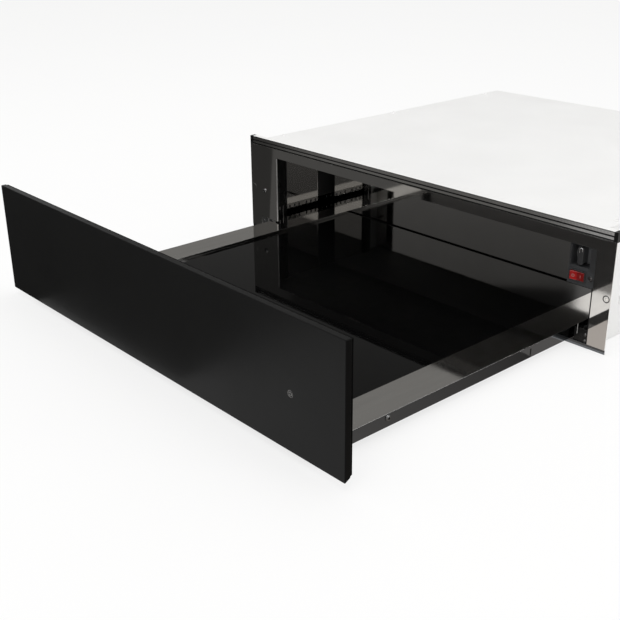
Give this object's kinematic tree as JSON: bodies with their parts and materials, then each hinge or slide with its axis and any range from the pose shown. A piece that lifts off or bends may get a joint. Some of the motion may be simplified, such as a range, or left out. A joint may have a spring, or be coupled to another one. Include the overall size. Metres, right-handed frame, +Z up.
{
  "type": "built-in warming drawer",
  "caption": "Built-in warming drawer shown open: black front panel, heated glass shelf on polished rails, sliding out of a steel carcass with a slim frame and front controls.",
  "frame": {"origin": "centre of the underside of the carcass base, halfway between the front frame's face and the carcass back", "axes": "+X to the right seen from the front, +Y from the front towards the back, +Z up; the drawer pulls out towards -Y"},
  "size_m": [0.595, 0.9244, 0.1372],
  "materials": {
    "carcass_zinc": "satin zinc-coated sheet",
    "frame_steel": "polished steel",
    "liner_steel": "polished steel",
    "dark_sheet": "satin black",
    "cap_black": "satin",
    "panel_black": "satin black, coated from behind",
    "carrier_black": "satin",
    "indicator": "gloss",
    "bumper_rubber": "matt",
    "seal_rubber": "matt",
    "rail_steel": "polished steel",
    "tray_zinc": "satin zinc-coated sheet",
    "heating_glass": "polished black",
    "wool": "fibrous",
    "heater_foil": "bright foil",
    "cutout_case": "satin",
    "runner_zinc": "zinc plated",
    "cage_steel": "satin",
    "ball_steel": "polished",
    "screw_steel": "bright",
    "control_grey": "satin",
    "knob_black": "semi-gloss",
    "shaft_brass": "turned",
    "body_plastic": "matt",
    "switch_grey": "satin",
    "rocker_red": "gloss",
    "lamp_plastic": "gloss",
    "spring_steel": "bright wire",
    "block_white": "matt",
    "gland_plastic": "matt"
  },
  "bodies": {
    "carcass": {"cable_gland": "gland_plastic", "carcass_back": "carcass_zinc", "carcass_base": "carcass_zinc", "carcass_screws": "screw_steel", "carcass_side_left": "carcass_zinc", "carcass_side_right": "carcass_zinc", "carcass_top": "carcass_zinc", "cavity_ceiling": "carcass_zinc", "control_housing": "carcass_zinc", "control_plate": "control_grey", "frame_bottom_strip": "frame_steel", "front_frame": "frame_steel", "grille_end_caps": "cap_black", "latch_body": "body_plastic", "latch_spring": "spring_steel", "pilot_lamp": "lamp_plastic", "runner_bracket_left": "dark_sheet", "runner_bracket_right": "dark_sheet", "runner_guard_left": "dark_sheet", "runner_guard_right": "dark_sheet", "runner_outer_left": "runner_zinc", "runner_outer_right": "runner_zinc", "side_liner_front_left": "liner_steel", "side_liner_front_right": "liner_steel", "side_liner_rear_left": "dark_sheet", "side_liner_rear_right": "dark_sheet", "side_post_left": "dark_sheet", "side_post_right": "dark_sheet", "switch_housing": "switch_grey", "terminal_block": "block_white", "terminal_box": "body_plastic", "thermostat_body": "body_plastic", "vent_grille": "frame_steel"},
    "drawer": {"front_panel": "panel_black", "indicator_lens": "indicator", "panel_carrier": "carrier_black", "panel_bumpers": "bumper_rubber", "tray_rail_left": "rail_steel", "tray_rail_right": "rail_steel", "panel_bracket_left": "carrier_black", "panel_bracket_right": "carrier_black", "drawer_screws": "screw_steel", "tray_pan": "tray_zinc", "tray_front_bracket": "tray_zinc", "insulation_pad": "wool", "thermal_cutout": "cutout_case", "heater_mat": "heater_foil", "glass_plate": "heating_glass", "glass_seal": "seal_rubber", "tray_back_panel": "rail_steel", "runner_inner_left": "runner_zinc", "runner_inner_right": "runner_zinc"},
    "cage_left": {"ball_cage_left": "cage_steel", "runner_balls_left": "ball_steel"},
    "cage_right": {"ball_cage_right": "cage_steel", "runner_balls_right": "ball_steel"},
    "knob": {"thermostat_knob": "knob_black", "thermostat_shaft": "shaft_brass"},
    "rocker": {"switch_rocker": "rocker_red"},
    "plunger": {"latch_plunger": "body_plastic"}
  },
  "joints": [
    {"name": "drawer_slide", "type": "slide", "parent": "carcass", "child": "drawer", "axis": [0, 1, 0], "range_m": [0, 0.366]},
    {"name": "cage_left_slide", "type": "slide", "parent": "carcass", "child": "cage_left", "axis": [0, 1, 0], "range_m": [0, 0.183]},
    {"name": "cage_right_slide", "type": "slide", "parent": "carcass", "child": "cage_right", "axis": [0, 1, 0], "range_m": [0, 0.183]},
    {"name": "knob_turn", "type": "hinge", "parent": "carcass", "child": "knob", "pos_m": [0.2564, -0.2655, 0.1012], "axis": [0, 1, 0], "range_deg": [0, 270]},
    {"name": "rocker_tilt", "type": "hinge", "parent": "carcass", "child": "rocker", "pos_m": [0.2549, -0.2649, 0.0791], "axis": [0, 0, 1], "range_deg": [-12, 0]},
    {"name": "plunger_slide", "type": "slide", "parent": "carcass", "child": "plunger", "axis": [0, 1, 0], "range_m": [0, 0.004], "stiffness_N_per_m": 300, "springref_m": -0.01}
  ],
  "couplings": [
    {"joint": "cage_left_slide", "follows": "drawer_slide", "ratio": 0.5},
    {"joint": "cage_right_slide", "follows": "drawer_slide", "ratio": 0.5}
  ]
}
